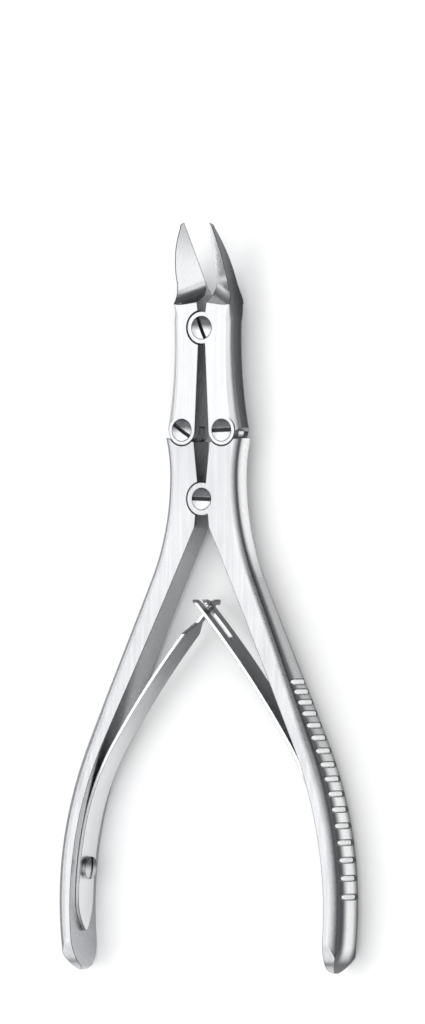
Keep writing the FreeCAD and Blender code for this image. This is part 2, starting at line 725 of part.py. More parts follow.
def screw_seat(name, head, x="0", y="0"):
    return [
        cylinder(name + "_counterbore", f"@{head}_head_radius + @seat_play",
                 "@joint_half - @head_seat_depth - @seat_play", "2 * @joint_half", x, y),
        cylinder(name + "_bore", "@pin_radius + @seat_play", "-@slot_half", "2 * @joint_half", x, y),
        cylinder(name + "_tapping", "@thread_radius + @seat_play", "-2 * @joint_half", "-@slot_half", x, y),
    ]


# Link joint: the jaw holds the tongue of the handle between its two ears.
def jaw_with_link(side, blank):
    x = "@jaw_link_x" if side == "right" else "-@jaw_link_x"
    y = "@jaw_link_y"
    ear = cylinder(f"{side}_link_ear", "@link_ear_radius", "-@joint_half", "@joint_half", x, y)
    cleared = "@link_ear_radius + @ear_play"
    pocket = cylinder(f"{side}_link_pocket", cleared, "-@slot_half", "@slot_half", x, y)
    seat = screw_seat(f"{side}_link_seat", "link", x, y)
    whole = joined(f"{side}_jaw_with_ear", [blank, ear])
    return carved(f"{side}_jaw_linked", whole, [pocket] + seat)


def handle_with_link(side, blank):
    x = "@link_half" if side == "right" else "-@link_half"
    y = "@link_pivot_rise"
    cleared = "@link_ear_radius + @ear_play"
    recess = disc_pair(f"{side}_link_recess", cleared, "@tongue_half", "2 * @joint_half", x, y)
    tongue = cylinder(f"{side}_link_tongue", "@link_ear_radius", "-@tongue_half", "@tongue_half", x, y)
    bore = pin_bore(f"{side}_link_bore", "@pin_radius + @pin_play", x, y)
    recessed = carved(f"{side}_handle_recessed", blank, recess)
    return carved(f"{side}_handle_linked", joined(f"{side}_handle_tongued", [recessed, tongue]), [bore])


right_jaw_linked = jaw_with_link("right", jaw_blank)
left_jaw_linked = jaw_with_link("left", mirrored("left_jaw_blank", jaw_blank))
right_handle_linked = handle_with_link("right", handle_blank)
left_handle_linked = handle_with_link("left", mirrored("left_handle_blank", handle_blank))


# The right piece of a central joint carries the ears and the left one the tongue.
def with_ears(name, base, joint, play):
    pocket = cylinder(f"{joint}_pocket", f"@{joint}_ear_radius + {play}", "-@slot_half", "@slot_half")
    ears = disc_pair(f"{joint}_ear", f"@{joint}_ear_radius", "@slot_half", "@joint_half")
    opened = carved(name + "_opened", base, [pocket])
    whole = joined(name + "_eared", [opened] + ears)
    return carved(name, whole, screw_seat(joint + "_seat", joint))


def with_tongue(name, base, joint, play, bore_play):
    cleared = f"@{joint}_ear_radius + {play}"
    recess = disc_pair(f"{joint}_recess", cleared, "@tongue_half", "2 * @joint_half")
    tongue = cylinder(f"{joint}_tongue", f"@{joint}_ear_radius", "-@tongue_half", "@tongue_half")
    bore = pin_bore(f"{joint}_bore", f"@pin_radius + {bore_play}")
    recessed = carved(name + "_recessed", base, recess)
    return carved(name, joined(name + "_tongued", [recessed, tongue]), [bore])


right_jaw = with_ears("right_jaw", right_jaw_linked, "front", "@front_ear_play")
left_jaw = with_tongue("left_jaw", left_jaw_linked, "front", "@front_ear_play", "@front_pin_play")
right_handle_jointed = with_ears("right_handle_jointed", right_handle_linked, "rear", "@ear_play")
left_handle_jointed = with_tongue("left_handle_jointed", left_handle_linked, "rear", "@ear_play", "@pin_play")


# Pivot screws: a domed, slotted head let into the front ear and an end screwed into the back one.
def pivot_screw(name, head, slot_angle, x, y):
    radius = f"@{head}_head_radius"
    seat = "@joint_half - @head_seat_depth"
    rim = cylinder(name + "_rim", radius, seat, "@joint_half + @head_dome")
    dome = document.addObject("Part::Sphere", name + "_dome")
    dome_radius = f"({radius} ^ 2 + @head_dome ^ 2) / (2 * @head_dome)"
    bound(dome, {"Radius": dome_radius, "Placement.Base.z": f"@joint_half + @head_dome - {dome_radius}"})
    pin = cylinder(name + "_pin", "@pin_radius", "-@slot_half", seat)
    end = cylinder(name + "_end", "@thread_radius", "-@joint_half", "-@slot_half")
    slot = document.addObject("Part::Box", name + "_slot")
    bound(slot, {
        "Length": f"4 * {radius}",
        "Width": "@slot_width",
        "Height": "2 * @slot_depth",
        "Placement": placed % (
            f"@slot_width / 2 * sin({slot_angle}) - 2 * {radius} * cos({slot_angle})",
            f"-@slot_width / 2 * cos({slot_angle}) - 2 * {radius} * sin({slot_angle})",
            "@joint_half + @head_dome - @slot_depth",
            spin % slot_angle,
        ),
    })
    whole = joined(name + "_whole", [shared(name + "_head", rim, dome), pin, end])
    screw = carved(name, whole, [slot])
    return bound(screw, {
        "Placement.Base.x": x,
        "Placement.Base.y": y,
        "Placement.Base.z": "@grip_half",
    })


front_pivot_screw = pivot_screw(
    "front_pivot_screw", "front", "@front_slot_angle", "0", "@front_pivot_y")
left_link_screw = pivot_screw(
    "left_link_screw", "link", "@left_link_slot_angle", "-@link_half", "@link_pivot_y")
right_link_screw = pivot_screw(
    "right_link_screw", "link", "@right_link_slot_angle", "@link_half", "@link_pivot_y")
rear_pivot_screw = pivot_screw(
    "rear_pivot_screw", "rear", "@rear_slot_angle", "0", "@rear_pivot_y")


# What lies square to the leaf at the spring screw is made along Z, from the leaf's inner face.
square_to_leaf = spin % "@spring_screw_angle" + " * " + turned % "90"
across_face = placed % ("@spring_seat_x", "@spring_seat_y", "0", square_to_leaf)


def spring_hole(name, radius, depth):
    hole = document.addObject("Part::Cylinder", name)
    return bound(hole, {"Radius": radius, "Height": depth, "Placement": across_face})


# The head's flat seat rests on the edges of the hollow leaf.
def spring_screw(name):
    seat = "-@spring_head_lift"
    top = "-@spring_head_lift - @spring_head_height"
    rim = cylinder(name + "_rim", "@spring_head_radius", top, seat)
    dome = document.addObject("Part::Sphere", name + "_dome")
    bound(dome, {"Radius": "@spring_dome_radius", "Placement.Base.z": top + " + @spring_dome_radius"})
    depth = "@leaf_thickness + @leaf_play + @spring_pin_depth"
    pin = cylinder(name + "_pin", "@spring_pin_radius", seat, depth)
    slot = document.addObject("Part::Box", name + "_slot")
    bound(slot, {
        "Length": "@slot_width",
        "Width": "4 * @spring_head_radius",
        "Height": "@slot_depth + @head_dome",
        "Placement.Base.x": "-@slot_width / 2",
        "Placement.Base.y": "-2 * @spring_head_radius",
        "Placement.Base.z": top + " - @head_dome",
    })
    whole = joined(name + "_whole", [shared(name + "_head", rim, dome), pin])
    screw = carved(name, whole, [slot])
    on_leaf = placed % ("@spring_seat_x", "@spring_seat_y + @rear_pivot_y", "@grip_half", square_to_leaf)
    return bound(screw, {"Placement": on_leaf})


# Leaf springs: a bent strip as seen from the front, trimmed to its shape as seen along X.
leaf_strip = padded("leaf_strip", "XY_Plane", [
    ("low_back", "leaf_back_radius", 1),
    ("lift_back", "bend_back_radius", 1),
    ("bend_back", "sweep_back_radius", 1),
    ("sweep_back", None, 0),
    ("out_back", None, 0),
    ("out_face", None, 0),
    ("sweep_face", "sweep_face_radius", -1),
    ("bend_face", "bend_face_radius", -1),
    ("lift_face", "leaf_face_radius", -1),
    ("low_face", None, 0),
], "2 * @leaf_width")
fork_trim = padded("fork_trim", "YZ_Plane", [
    ("-point", "lancet_radius", 1),
    ("-lancet", None, 0),
    ("-prong_side", "prong_radius", 1),
    ("-prong_inside", None, 0),
    ("-slot_foot", "slot_foot_radius", -1),
    ("slot_foot", None, 0),
    ("prong_inside", "prong_radius", 1),
    ("prong_side", None, 0),
    ("lancet", "lancet_radius", 1),
    ("point", None, 0),
], "4 * @handle_reach", "yz")
hook_trim = padded("hook_trim", "YZ_Plane", [
    ("-point", "lancet_radius", 1),
    ("-lancet", None, 0),
    ("-stem_shoulder", None, 0),
    ("-stem_root", None, 0),
    ("-hook_root", None, 0),
    ("-hook_heel", "hook_end_radius", 1),
    ("hook_heel", None, 0),
    ("hook_root", None, 0),
    ("stem_root", None, 0),
    ("stem_shoulder", None, 0),
    ("lancet", "lancet_radius", 1),
    ("point", None, 0),
], "4 * @handle_reach", "yz")
leaf_hole = spring_hole(
    "leaf_hole", "@spring_pin_radius + @spring_pin_play", "@leaf_thickness + @leaf_play")
fork_leaf = carved("fork_leaf", shared("fork_strip", leaf_strip, fork_trim), [leaf_hole])
hook_leaf = carved("hook_leaf", shared("hook_strip", leaf_strip, hook_trim), [leaf_hole])
screw_bore = spring_hole(
    "screw_bore", "@spring_pin_radius + @seat_play", "@leaf_thickness + 2 * @leaf_play + @spring_pin_depth")
right_spring_screw = spring_screw("right_spring_screw")


# The jaws are turned open about the front pivot, and every piece is brought to the lying instrument.
jaw_place = placed % ("0", "@front_pivot_y", "@grip_half", spin)
on_table = {
    "Placement.Base.y": "@rear_pivot_y",
    "Placement.Base.z": "@grip_half",
}
right_handle = carved("right_handle", right_handle_jointed, [screw_bore])
left_handle = carved("left_handle", left_handle_jointed, [mirrored("left_screw_bore", screw_bore)])
pieces = {
    "left_jaw": bound(left_jaw, {"Placement": jaw_place % "@jaw_opening"}),
    "right_jaw": bound(right_jaw, {"Placement": jaw_place % "-@jaw_opening"}),
    "left_handle": bound(left_handle, on_table),
    "right_handle": bound(right_handle, on_table),
    "front_pivot_screw": front_pivot_screw,
    "left_link_screw": left_link_screw,
    "right_link_screw": right_link_screw,
    "rear_pivot_screw": rear_pivot_screw,
    "left_leaf_spring": bound(mirrored("left_leaf", hook_leaf), on_table),
    "right_leaf_spring": bound(fork_leaf, on_table),
    "left_spring_screw": mirrored("left_spring_screw", right_spring_screw),
    "right_spring_screw": right_spring_screw,
}
document.recompute()

for item in document.Objects:
    if "Invalid" in item.State or "Error" in item.State:
        raise RuntimeError(f"{item.Name} failed: {item.State}")
for node, piece in pieces.items():
    piece.Label = node
    shape = piece.Shape
    if shape.isNull() or not shape.isValid() or len(shape.Solids) != 1:
        raise RuntimeError(f"{node} is not one valid solid")
    shape.exportStep(f"parts/{node}.step")
    box = shape.BoundBox
    print(f"{node}: volume {shape.Volume:.1f}, x {box.XMin:.2f} to {box.XMax:.2f}, "
          f"y {box.YMin:.2f} to {box.YMax:.2f}, z {box.ZMin:.2f} to {box.ZMax:.2f}")
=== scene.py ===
import json
import math
import bpy
from mathutils import Matrix, Vector

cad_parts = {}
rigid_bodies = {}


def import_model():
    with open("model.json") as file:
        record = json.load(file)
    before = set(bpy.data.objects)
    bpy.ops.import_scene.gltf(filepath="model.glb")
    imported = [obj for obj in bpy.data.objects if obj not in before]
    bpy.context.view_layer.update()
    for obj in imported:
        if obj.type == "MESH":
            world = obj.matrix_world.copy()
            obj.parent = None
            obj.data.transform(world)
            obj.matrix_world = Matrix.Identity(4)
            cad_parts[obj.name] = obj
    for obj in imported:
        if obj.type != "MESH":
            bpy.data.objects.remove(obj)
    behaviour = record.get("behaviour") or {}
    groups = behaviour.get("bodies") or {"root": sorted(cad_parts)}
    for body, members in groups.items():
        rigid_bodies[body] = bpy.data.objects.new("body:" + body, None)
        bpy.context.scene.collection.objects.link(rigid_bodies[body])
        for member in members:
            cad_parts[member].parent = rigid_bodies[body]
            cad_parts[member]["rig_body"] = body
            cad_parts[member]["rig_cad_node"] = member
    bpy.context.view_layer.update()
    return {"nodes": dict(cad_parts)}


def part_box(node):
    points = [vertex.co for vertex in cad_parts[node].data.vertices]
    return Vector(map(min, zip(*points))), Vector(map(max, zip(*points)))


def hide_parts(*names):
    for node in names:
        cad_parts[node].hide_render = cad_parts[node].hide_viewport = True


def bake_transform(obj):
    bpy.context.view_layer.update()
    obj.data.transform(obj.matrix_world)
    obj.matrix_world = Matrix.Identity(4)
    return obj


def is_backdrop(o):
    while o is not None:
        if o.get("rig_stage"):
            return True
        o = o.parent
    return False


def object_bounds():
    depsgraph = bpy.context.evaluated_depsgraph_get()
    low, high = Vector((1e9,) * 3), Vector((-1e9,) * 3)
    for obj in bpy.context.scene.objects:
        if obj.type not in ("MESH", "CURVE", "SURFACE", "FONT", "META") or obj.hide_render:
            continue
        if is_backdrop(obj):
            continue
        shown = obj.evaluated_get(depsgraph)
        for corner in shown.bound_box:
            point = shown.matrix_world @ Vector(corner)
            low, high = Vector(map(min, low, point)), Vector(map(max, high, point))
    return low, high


# Bone cutting forceps in satin steel, lying on a pale studio floor.
# Metres, Z up, blades towards +Y, the front faces upwards.
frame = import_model()
print("frame loaded:", len(frame["nodes"]), "nodes")


def deselect():
    if bpy.context.object and bpy.context.object.mode != "OBJECT":
        bpy.ops.object.mode_set(mode="OBJECT")
    bpy.ops.object.select_all(action="DESELECT")


def makeActive(piece):
    deselect()
    piece.select_set(True)
    bpy.context.view_layer.objects.active = piece


# A small kit for wiring shader nodes
def addNode(tree, kind, **settings):
    node = tree.nodes.new(kind)
    for name, value in settings.items():
        setattr(node, name, value)
    return node


def wire(tree, source, target):
    tree.links.new(source, target)


def calculate(tree, operation, first, second=None, third=None, clamp=False):
    node = addNode(tree, "ShaderNodeMath", operation=operation, use_clamp=clamp)
    for place, value in enumerate((first, second, third)):
        if value is None:
            continue
        if isinstance(value, (int, float)):
            node.inputs[place].default_value = value
        else:
            wire(tree, value, node.inputs[place])
    return node.outputs[0]


def multiply(tree, first, second):
    return calculate(tree, "MULTIPLY", first, second)


def subtract(tree, first, second):
    return calculate(tree, "SUBTRACT", first, second)


def unsigned(tree, value):
    return calculate(tree, "ABSOLUTE", value)


def average(tree, first, second, share=0.5):  # that share of the first, the rest of the second
    return calculate(tree, "MULTIPLY_ADD", first, share, multiply(tree, second, 1 - share))


def spread(tree, value, low, high):  # a 0 to 1 value stretched to low..high
    node = addNode(tree, "ShaderNodeMapRange")
    wire(tree, value, node.inputs["Value"])
    node.inputs["To Min"].default_value = low
    node.inputs["To Max"].default_value = high
    return node.outputs["Result"]


def step(tree, value, start, end):  # 0 before start, 1 after end, smooth between
    node = addNode(tree, "ShaderNodeMapRange", interpolation_type="SMOOTHSTEP")
    wire(tree, value, node.inputs["Value"])
    node.inputs["From Min"].default_value = start
    node.inputs["From Max"].default_value = end
    return node.outputs["Result"]


def split(tree, vector):
    node = addNode(tree, "ShaderNodeSeparateXYZ")
    wire(tree, vector, node.inputs["Vector"])
    return node.outputs


# Noise whose features are that long in X, Y and Z
def pattern(tree, place, feature, detail=2.0, roughness=0.5):
    mapping = addNode(tree, "ShaderNodeMapping")
    mapping.inputs["Scale"].default_value = [1 / side for side in feature]
    noise = addNode(tree, "ShaderNodeTexNoise")
    noise.inputs["Scale"].default_value = 1.0
    noise.inputs["Detail"].default_value = detail
    noise.inputs["Roughness"].default_value = roughness
    wire(tree, place, mapping.inputs["Vector"])
    wire(tree, mapping.outputs["Vector"], noise.inputs["Vector"])
    return noise.outputs["Fac"]


def blendColours(tree, share, first, second):
    node = addNode(tree, "ShaderNodeMix", data_type="RGBA")
    wire(tree, share, node.inputs["Factor"])
    for socket, value in (("A", first), ("B", second)):
        target = [i for i in node.inputs if i.name == socket and i.type == "RGBA"][0]
        if isinstance(value, tuple):
            target.default_value = (*value, 1.0)
        else:
            wire(tree, value, target)
    return [o for o in node.outputs if o.type == "RGBA"][0]


# Colours at given places along one axis, blended between them
def followStops(tree, place, stops):
    (previous, colour), *later = stops
    for following, after in later:
        colour = blendColours(tree, step(tree, place, previous, following), colour, after)
        previous = following
    return colour


# Sharp edges carry a thin dark line of painted shade, found where the rounded normal turns from the
# flat one
edgeLine = {
    "samples": 6,
    "turned": (0.997, 0.965),
}


def lineEdges(tree, colour, radius, lineColour, look=edgeLine):
    rounding = addNode(tree, "ShaderNodeBevel", samples=look["samples"])
    rounding.inputs["Radius"].default_value = radius
    geometry = addNode(tree, "ShaderNodeNewGeometry")
    angle = addNode(tree, "ShaderNodeVectorMath", operation="DOT_PRODUCT")
    wire(tree, rounding.outputs["Normal"], angle.inputs[0])
    wire(tree, geometry.outputs["Normal"], angle.inputs[1])
    turned = step(tree, angle.outputs["Value"], *look["turned"])
    return blendColours(tree, turned, colour, lineColour), rounding.outputs["Normal"]


def finishSteel(tree, shader, colour, height, normal, look):
    bump = addNode(tree, "ShaderNodeBump")
    bump.inputs["Strength"].default_value = look["bump"]
    bump.inputs["Distance"].default_value = look["bumpHeight"]
    wire(tree, height, bump.inputs["Height"])
    wire(tree, normal, bump.inputs["Normal"])
    wire(tree, bump.outputs["Normal"], shader.inputs["Normal"])
    wire(tree, colour, shader.inputs["Base Color"])
    shader.inputs["Metallic"].default_value = 1.0


def startMaterial(name):
    material = bpy.data.materials.new(name)
    material.use_nodes = True
    tree = material.node_tree
    tree.nodes.clear()
    output = addNode(tree, "ShaderNodeOutputMaterial")
    shader = addNode(tree, "ShaderNodeBsdfPrincipled")
    wire(tree, shader.outputs["BSDF"], output.inputs["Surface"])
    return material, tree, shader


# Satin steel: fine lines along the tool and soft smudges. Walls carry painted shade and painted
# reflections unlike the faces, painted shade sits in the joint lines and along sharp edges, and the
# finger grooves carry painted highlights with dark lips of painted shade.
# A turn is the range of the normal, towards the other half, over which a wall's colour comes in.
satinSteel = {
    # The edge colour is painted shade, drawn as dark lines along sharp edges
    "edgeColour": (0.05, 0.051, 0.055),
    # Painted shade in the gaps of the joint lines
    "paintedShadeColour": (0.03, 0.03, 0.032),
    "roughness": (0.20, 0.34),
    "line": (0.00022, 0.016, 0.00022),
    "coarseLine": (0.0009, 0.03, 0.0009),
    "smudge": (0.011, 0.024, 0.011),
    "coarseShare": 0.55,
    "uneven": (-0.35, 1.35),
    "bump": 0.10,
    "bumpHeight": 0.00001,
    "edge": 0.00030,
    # Width of the painted shade along the joint lines
    "jointShadeWidth": (0.00028, 0.000098),
    "faceHeight": (0.0090, 0.0095),
    "facetTurn": (0.40, 0.50),
    "innerTurn": (0.72, 0.90),
    "outerTurn": (-0.86, -0.985),
    "grooveTurn": (-0.50, -0.70),
    "hollowTurn": (-0.05, 0.45),
    "hollowRise": (0.30, 0.45),
}

# Each piece's colours: face and its darker random tone, then painted shade, painted reflection and
# painted highlight: inner walls and blade facets by height along the tool, the rounding towards the
# outer wall with its turn, and that wall by height above the floor
leftJawLook = {
    "face": ((0.68, 0.685, 0.695), (0.53, 0.54, 0.555)),
    # Inner walls by height: painted shade and painted reflection
    "inner": [(0.070, (0.50, 0.505, 0.52)), (0.040, (0.34, 0.345, 0.36))],
    # Blade facet by height: painted highlight, then a dark band of painted shade at the fillet
    "facet": [
        (0.0945, (0.34, 0.343, 0.35)), (0.084, (0.52, 0.524, 0.53)),
        (0.0785, (0.52, 0.524, 0.53)), (0.0757, (0.13, 0.132, 0.14)),
    ],
    # Dark band of painted shade in the hollow at the blade's shoulder
    "shoulder": (0.30, 0.303, 0.31),
    # Dark band of painted shade on the rounding towards the outer wall
    "rounding": (-0.50, -0.88, (0.17, 0.173, 0.18)),
    # Outer wall: dark painted shade, darkest at its top and bottom edges
    "wall": {
        "middle": 0.0125,
        "reach": 0.0085,
        "clear": 0.0,
        "colour": (0.17, 0.173, 0.18),
        "edge": (0.035, 0.036, 0.039),
    },
    "grooves": None,
}
# The right blade's facet is painted lighter than the left's, as painted highlight
rightJawLook = dict(leftJawLook, facet=[
    (0.0945, (0.85, 0.855, 0.86)), (0.084, (1.0, 1.0, 1.0)),
    (0.0785, (0.90, 0.905, 0.91)), (0.0757, (0.40, 0.405, 0.415)),
])
handleLook = {
    "face": ((0.62, 0.626, 0.638), (0.44, 0.446, 0.46)),
    # Inner walls by height: painted shade near the joint, lighter painted reflection lower down
    "inner": [
        (0.028, (0.26, 0.265, 0.275)), (0.004, (0.38, 0.385, 0.395)),
        (-0.030, (0.55, 0.555, 0.565)), (-0.075, (0.46, 0.465, 0.48)),
    ],
    "facet": None,
    "shoulder": None,
    # Dark band of painted shade on the rounding towards the outer wall
    "rounding": (-0.22, -0.80, (0.10, 0.102, 0.108)),
    # Outer wall: painted highlight along its middle, painted shade at its top and bottom edges
    "wall": {
        "middle": 0.0062,
        "reach": 0.0042,
        "clear": 0.2,
        "colour": (0.97, 0.97, 0.97),
        "edge": (0.07, 0.071, 0.075),
    },
    # Finger grooves: light ovals of painted highlight with dark lips of painted shade
    "grooves": {
        "first": -0.0213025,
        "pitch": 0.0025,
        "growth": 0.00016,
        "begin": (-0.45, -0.35),
        "end": (15.45, 15.35),
        "half": 0.00072,
        "reach": 0.0036,
        "middle": 0.0065,
        "squareness": 4.0,
        "lip": (1.7384, 1.22),
        "core": (1.0, 0.75),
        "colour": (0.95, 0.95, 0.95),
        "lipColour": (0.05, 0.05, 0.055),
    },
}
jawLooks = {"left": leftJawLook, "right": rightJawLook}
inwardOf = {"left": 1.0, "right": -1.0}


# Painted shade: dark rings on the front face where the joint gaps are
def makeJointLines(tree, parts, colour, rings, look=satinSteel):
    front = step(tree, parts["Z"], *look["faceHeight"])
    for x, y, radius in rings:
        across = subtract(tree, parts["X"], x)
        along = subtract(tree, parts["Y"], y)
        square = calculate(tree, "MULTIPLY_ADD", across, across, multiply(tree, along, along))
        gap = unsigned(tree, subtract(tree, calculate(tree, "SQRT", square), radius))
        line = multiply(tree, step(tree, gap, *look["jointShadeWidth"]), front)
        colour = blendColours(tree, line, colour, look["paintedShadeColour"])
    return colour


# How far a height above the floor lies from a wall's middle, as a share of its reach
def offMiddle(tree, parts, look):
    off = calculate(tree, "DIVIDE", subtract(tree, parts["Z"], look["middle"]), look["reach"])
    return unsigned(tree, off)


# The grooves stand further apart down the grip: the count of pitches passed is a root of the
# height. Each is painted as a light oval of painted highlight with a dark lip of painted shade, oval
# since the grip's outer edges are rounded.
def makeGrooves(tree, parts, outward, colour, look):
    passed = subtract(tree, look["first"], parts["Y"])
    steady = look["pitch"] - look["growth"] / 2
    square = calculate(tree, "MULTIPLY_ADD", passed, 2 * look["growth"], steady ** 2)
    count = subtract(tree, calculate(tree, "SQRT", square), steady)
    count = calculate(tree, "DIVIDE", count, look["growth"])
    away = unsigned(tree, subtract(tree, count, calculate(tree, "ROUND", count)))
    pitch = calculate(tree, "MULTIPLY_ADD", count, look["growth"], look["pitch"])
    away = calculate(tree, "DIVIDE", multiply(tree, away, pitch), look["half"])
    within = multiply(tree, step(tree, count, *look["begin"]), outward)
    within = multiply(tree, step(tree, count, *look["end"]), within)
    oval = calculate(tree, "POWER", offMiddle(tree, parts, look), look["squareness"])
    oval = calculate(tree, "ADD", oval, multiply(tree, away, away))
    lip = multiply(tree, step(tree, oval, *look["lip"]), within)
    colour = blendColours(tree, lip, colour, look["lipColour"])
    core = multiply(tree, step(tree, oval, *look["core"]), within)
    return blendColours(tree, core, colour, look["colour"])


def makeSatinSteel(name, inward, zones, rings, look=satinSteel):
    material, tree, shader = startMaterial(name)
    coordinates = addNode(tree, "ShaderNodeTexCoord")
    place = coordinates.outputs["Object"]
    parts = split(tree, place)
    normal = split(tree, coordinates.outputs["Normal"])
    lines = pattern(tree, place, look["line"], detail=3.0)
    coarseLines = pattern(tree, place, look["coarseLine"], detail=2.0)
    smudges = pattern(tree, place, look["smudge"], detail=4.0, roughness=0.6)
    uneven = average(tree, coarseLines, smudges, look["coarseShare"])
    colour = blendColours(tree, spread(tree, uneven, *look["uneven"]), *zones["face"])
    facing = multiply(tree, normal["X"], inward)
    # Blade facets: painted highlight and painted shade by height along the tool
    if zones["facet"]:
        facet = followStops(tree, parts["Y"], zones["facet"])
        colour = blendColours(tree, step(tree, facing, *look["facetTurn"]), colour, facet)
    # Inner walls: painted shade and painted reflection by height along the tool
    inner = followStops(tree, parts["Y"], zones["inner"])
    colour = blendColours(tree, step(tree, facing, *look["innerTurn"]), colour, inner)
    # Rounding towards the outer wall: a dark band of painted shade
    start, end, roundColour = zones["rounding"]
    colour = blendColours(tree, step(tree, facing, start, end), colour, roundColour)
    # Outer wall: painted highlight and painted shade by height above the floor
    wall = zones["wall"]
    off = step(tree, offMiddle(tree, parts, wall), wall["clear"], 1.0)
    outer = blendColours(tree, off, wall["colour"], wall["edge"])
    colour = blendColours(tree, step(tree, facing, *look["outerTurn"]), colour, outer)
    # Painted shade in the hollow at the blade's shoulder
    if zones["shoulder"]:
        hollow = step(tree, normal["Y"], *look["hollowTurn"])
        hollow = multiply(tree, hollow, step(tree, normal["Z"], *look["hollowRise"]))
        colour = blendColours(tree, hollow, colour, zones["shoulder"])
    # Finger grooves: painted highlight ovals with painted shade lips
    if zones["grooves"]:
        outward = step(tree, facing, *look["grooveTurn"])
        colour = makeGrooves(tree, parts, outward, colour, zones["grooves"])
    # Dark lines of painted shade along sharp edges
    colour, rounded = lineEdges(tree, colour, look["edge"], look["edgeColour"])
    # Painted shade in the joint gaps
    colour = makeJointLines(tree, parts, colour, rings)
    rough = average(tree, lines, smudges)
    wire(tree, spread(tree, rough, *look["roughness"]), shader.inputs["Roughness"])
    finishSteel(tree, shader, colour, lines, rounded, look)
    return material


# Screw steel: turned rings about each screw's own axis, polished, with painted shade darker towards
# the top of the head as on a lit dome, and painted shade in the slot and round the rim
screwSteel = {
    "colour": (0.62, 0.625, 0.64),
    # The shade colour is painted shade on the upper part of the head
    "shade": (0.10, 0.102, 0.108),
    "ring": 0.00016,
    "ringDetail": 2.0,
    "fade": 0.0011,
    "cloud": 0.5,
    "smudge": (0.0012, 0.0012, 0.0012),
    "roughness": (0.20, 0.32),
    "bump": 0.25,
    "bumpHeight": 0.000012,
    "edge": 0.00020,
    "paintedShadeColour": (0.03, 0.03, 0.033),
    "slotFlat": (0.985, 0.995),
    "slotHeight": (0.0101, 0.0099),
    "springTurn": 0.1,
}


def makeScrewSteel(name, centre, turn=0.0, look=screwSteel):
    material, tree, shader = startMaterial(name)
    coordinates = addNode(tree, "ShaderNodeTexCoord")
    place = coordinates.outputs["Object"]
    mapping = addNode(tree, "ShaderNodeMapping", vector_type="TEXTURE")
    mapping.inputs["Location"].default_value = centre
    mapping.inputs["Rotation"].default_value = (0, 0, turn)
    wire(tree, place, mapping.inputs["Vector"])
    parts = split(tree, mapping.outputs["Vector"])
    sideways = parts["X"] if turn == 0 else parts["Z"]
    across = multiply(tree, sideways, sideways)
    along = multiply(tree, parts["Y"], parts["Y"])
    radius = calculate(tree, "SQRT", calculate(tree, "ADD", across, along))
    rings = addNode(tree, "ShaderNodeTexNoise", noise_dimensions="1D")
    rings.inputs["Scale"].default_value = 1.0
    rings.inputs["Detail"].default_value = look["ringDetail"]
    wire(tree, calculate(tree, "DIVIDE", radius, look["ring"]), rings.inputs["W"])
    smudges = pattern(tree, place, look["smudge"], detail=3.0)
    mixed = average(tree, rings.outputs["Fac"], smudges)
    # Painted shade: darker towards the top of the head
    upper = step(tree, parts["Y"], -look["fade"], look["fade"])
    dark = calculate(tree, "MULTIPLY_ADD", mixed, look["cloud"], upper)
    dark = calculate(tree, "SUBTRACT", dark, look["cloud"] / 2, clamp=True)
    colour = blendColours(tree, dark, look["colour"], look["shade"])
    if turn == 0:  # the slot's flat floor
        # The slot's flat floor is painted dark, as painted shade in the recess
        flat = step(tree, split(tree, coordinates.outputs["Normal"])["Z"], *look["slotFlat"])
        deep = step(tree, parts["Z"], *look["slotHeight"])
        colour = blendColours(tree, multiply(tree, flat, deep), colour, look["paintedShadeColour"])
    wire(tree, spread(tree, mixed, *look["roughness"]), shader.inputs["Roughness"])
    # Dark lines of painted shade round the rim and along sharp edges
    colour, rounded = lineEdges(tree, colour, look["edge"], look["paintedShadeColour"])
    finishSteel(tree, shader, colour, rings.outputs["Fac"], rounded, look)
    return material


# Spring steel: drawn lines along the leaf, painted shade darker between the lower and upper height
# towards the crossing, the back painted light on the left leaf and dark as painted shade on the
# right, lighter narrow edges facing up and down, and dark lines of painted shade along sharp edges
springSteel = {
    "colour": (0.80, 0.805, 0.815),
    # The shade colour is painted shade towards the crossing of the leaves
    "shade": (0.15, 0.152, 0.16),
    # The back is painted light on the left leaf and dark, as painted shade, on the right leaf
    "backColour": {"left": (0.60, 0.605, 0.62), "right": (0.13, 0.132, 0.14)},
    "edgeColour": (0.92, 0.92, 0.92),
    # The line colour is painted shade along sharp edges
    "lineColour": (0.05, 0.051, 0.055),
    "upper": -0.006,
    "lower": -0.046,
    "cloud": 0.4,
    "line": (0.012, 0.012, 0.00025),
    "smudge": (0.009, 0.009, 0.004),
    "roughness": (0.24, 0.38),
    "bump": 0.12,
    "bumpHeight": 0.00001,
    "edge": 0.00032,
    "backTurn": (-0.1, -0.4),
    "edgeTurn": (0.3, 0.5),
}


